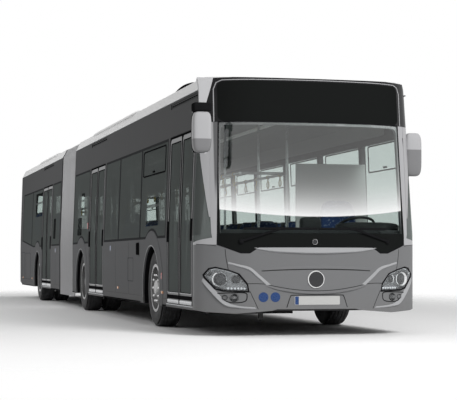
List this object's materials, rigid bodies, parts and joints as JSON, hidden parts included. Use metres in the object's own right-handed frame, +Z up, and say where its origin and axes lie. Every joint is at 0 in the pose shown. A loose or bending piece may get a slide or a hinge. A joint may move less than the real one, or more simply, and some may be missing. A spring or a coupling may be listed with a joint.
{
  "type": "articulated city bus",
  "caption": "Low-floor articulated city bus: two cars on a turntable with a bellows, glazed sides, double doors and steered front wheels.",
  "frame": {"origin": "on the ground, under the middle of the whole bus", "axes": "+Z up, the front looks along -Y, the door side is -X"},
  "size_m": [2.9, 18.425, 3.062],
  "materials": {
    "bellows": "matt",
    "black_plastic": "matt",
    "body": "satin metallic",
    "chassis": "painted",
    "door": "satin",
    "door_gear": "satin",
    "floor": "matt",
    "glass": "gloss",
    "lamp": "gloss",
    "mirror_shell": "satin",
    "rail": "brushed",
    "rim": "satin",
    "roof": "satin",
    "seat": "woven",
    "tail_lamp": "gloss",
    "tyre": "matt"
  },
  "bodies": {
    "front_car": {"bellows": "bellows", "cab": "black_plastic", "front_axle": "chassis", "front_floor": "floor", "front_handrails": "rail", "front_mask": "body", "front_roof": "roof", "front_seats": "seat", "front_side_glass": "glass", "front_wall_left": "body", "front_wall_right": "body", "front_wheel_boxes": "floor", "headlamps": "lamp", "middle_axle": "chassis", "mirrors": "mirror_shell", "steering_wheel": "black_plastic", "turntable_base": "chassis", "windscreen": "glass", "windscreen_frame": "body", "wipers": "black_plastic"},
    "rear_car": {"rear_axle": "chassis", "rear_floor": "floor", "rear_glass": "glass", "rear_handrails": "rail", "rear_panel": "body", "rear_roof": "roof", "rear_seats": "seat", "rear_wall_left": "body", "rear_wall_right": "body", "rear_wheel_boxes": "floor", "tail_lamps": "tail_lamp", "turntable_ring": "chassis", "engine": "chassis"},
    "knuckle_left": {"knuckle_left": "chassis"},
    "knuckle_right": {"knuckle_right": "chassis"},
    "wheel_front_left": {"tyre_front_left": "tyre", "rim_front_left": "rim"},
    "wheel_front_right": {"tyre_front_right": "tyre", "rim_front_right": "rim"},
    "wheel_middle_left": {"tyre_middle_left": "tyre", "rim_middle_left": "rim"},
    "wheel_middle_right": {"tyre_middle_right": "tyre", "rim_middle_right": "rim"},
    "wheel_rear_left": {"tyre_rear_left": "tyre", "rim_rear_left": "rim"},
    "wheel_rear_right": {"tyre_rear_right": "tyre", "rim_rear_right": "rim"},
    "door_1_front_arm": {"door_1_front_arm": "door_gear"},
    "door_1_front_leaf": {"door_1_front_leaf": "door"},
    "door_1_rear_arm": {"door_1_rear_arm": "door_gear"},
    "door_1_rear_leaf": {"door_1_rear_leaf": "door"},
    "door_2_front_arm": {"door_2_front_arm": "door_gear"},
    "door_2_front_leaf": {"door_2_front_leaf": "door"},
    "door_2_rear_arm": {"door_2_rear_arm": "door_gear"},
    "door_2_rear_leaf": {"door_2_rear_leaf": "door"},
    "door_3_front_arm": {"door_3_front_arm": "door_gear"},
    "door_3_front_leaf": {"door_3_front_leaf": "door"},
    "door_3_rear_arm": {"door_3_rear_arm": "door_gear"},
    "door_3_rear_leaf": {"door_3_rear_leaf": "door"}
  },
  "joints": [
    {"name": "articulation", "type": "hinge", "parent": "front_car", "child": "rear_car", "pos_m": [0, 1.5925, 0.25], "axis": [0, 0, 1], "range_deg": [-50, 50], "deforming": ["bellows"]},
    {"name": "steer_left", "type": "hinge", "parent": "front_car", "child": "knuckle_left", "pos_m": [1.035, -6.1075, 0.482], "axis": [0, 0, 1], "range_deg": [-48, 48]},
    {"name": "steer_right", "type": "hinge", "parent": "front_car", "child": "knuckle_right", "pos_m": [-1.035, -6.1075, 0.482], "axis": [0, 0, 1], "range_deg": [-48, 48]},
    {"name": "spin_front_left", "type": "hinge", "parent": "knuckle_left", "child": "wheel_front_left", "pos_m": [1.095, -6.1075, 0.482], "axis": [1, 0, 0], "continuous": true},
    {"name": "spin_front_right", "type": "hinge", "parent": "knuckle_right", "child": "wheel_front_right", "pos_m": [-1.095, -6.1075, 0.482], "axis": [1, 0, 0], "continuous": true},
    {"name": "spin_middle_left", "type": "hinge", "parent": "front_car", "child": "wheel_middle_left", "pos_m": [1.095, -0.2075, 0.482], "axis": [1, 0, 0], "continuous": true},
    {"name": "spin_middle_right", "type": "hinge", "parent": "front_car", "child": "wheel_middle_right", "pos_m": [-1.095, -0.2075, 0.482], "axis": [1, 0, 0], "continuous": true},
    {"name": "spin_rear_left", "type": "hinge", "parent": "rear_car", "child": "wheel_rear_left", "pos_m": [1.095, 5.7825, 0.482], "axis": [1, 0, 0], "continuous": true},
    {"name": "spin_rear_right", "type": "hinge", "parent": "rear_car", "child": "wheel_rear_right", "pos_m": [-1.095, 5.7825, 0.482], "axis": [1, 0, 0], "continuous": true},
    {"name": "door_1_front_swing", "type": "hinge", "parent": "front_car", "child": "door_1_front_arm", "pos_m": [-1.185, -8.3965, 1.3], "axis": [0, 0, -1], "range_deg": [0, 78]},
    {"name": "door_1_front_glide", "type": "hinge", "parent": "door_1_front_arm", "child": "door_1_front_leaf", "pos_m": [-1.185, -8.0575, 1.3], "axis": [0, 0, -1], "range_deg": [-156, 0]},
    {"name": "door_1_rear_swing", "type": "hinge", "parent": "front_car", "child": "door_1_rear_arm", "pos_m": [-1.185, -7.0305, 1.3], "axis": [0, 0, 1], "range_deg": [0, 78]},
    {"name": "door_1_rear_glide", "type": "hinge", "parent": "door_1_rear_arm", "child": "door_1_rear_leaf", "pos_m": [-1.185, -7.3695, 1.3], "axis": [0, 0, 1], "range_deg": [-156, 0]},
    {"name": "door_2_front_swing", "type": "hinge", "parent": "front_car", "child": "door_2_front_arm", "pos_m": [-1.185, -2.4305, 1.3], "axis": [0, 0, -1], "range_deg": [0, 78]},
    {"name": "door_2_front_glide", "type": "hinge", "parent": "door_2_front_arm", "child": "door_2_front_leaf", "pos_m": [-1.185, -2.0815, 1.3], "axis": [0, 0, -1], "range_deg": [-156, 0]},
    {"name": "door_2_rear_swing", "type": "hinge", "parent": "front_car", "child": "door_2_rear_arm", "pos_m": [-1.185, -1.0245, 1.3], "axis": [0, 0, 1], "range_deg": [0, 78]},
    {"name": "door_2_rear_glide", "type": "hinge", "parent": "door_2_rear_arm", "child": "door_2_rear_leaf", "pos_m": [-1.185, -1.3735, 1.3], "axis": [0, 0, 1], "range_deg": [-156, 0]},
    {"name": "door_3_front_swing", "type": "hinge", "parent": "rear_car", "child": "door_3_front_arm", "pos_m": [-1.185, 3.6495, 1.3], "axis": [0, 0, -1], "range_deg": [0, 78]},
    {"name": "door_3_front_glide", "type": "hinge", "parent": "door_3_front_arm", "child": "door_3_front_leaf", "pos_m": [-1.185, 4.006, 1.3], "axis": [0, 0, -1], "range_deg": [-156, 0]},
    {"name": "door_3_rear_swing", "type": "hinge", "parent": "rear_car", "child": "door_3_rear_arm", "pos_m": [-1.185, 5.0855, 1.3], "axis": [0, 0, 1], "range_deg": [0, 78]},
    {"name": "door_3_rear_glide", "type": "hinge", "parent": "door_3_rear_arm", "child": "door_3_rear_leaf", "pos_m": [-1.185, 4.729, 1.3], "axis": [0, 0, 1], "range_deg": [-156, 0]}
  ],
  "couplings": [
    {"joint": "steer_right", "follows": "steer_left", "ratio": 1},
    {"joint": "door_1_front_glide", "follows": "door_1_front_swing", "ratio": -2},
    {"joint": "door_1_rear_swing", "follows": "door_1_front_swing", "ratio": 1},
    {"joint": "door_1_rear_glide", "follows": "door_1_front_swing", "ratio": -2},
    {"joint": "door_2_front_glide", "follows": "door_2_front_swing", "ratio": -2},
    {"joint": "door_2_rear_swing", "follows": "door_2_front_swing", "ratio": 1},
    {"joint": "door_2_rear_glide", "follows": "door_2_front_swing", "ratio": -2},
    {"joint": "door_3_front_glide", "follows": "door_3_front_swing", "ratio": -2},
    {"joint": "door_3_rear_swing", "follows": "door_3_front_swing", "ratio": 1},
    {"joint": "door_3_rear_glide", "follows": "door_3_front_swing", "ratio": -2}
  ]
}
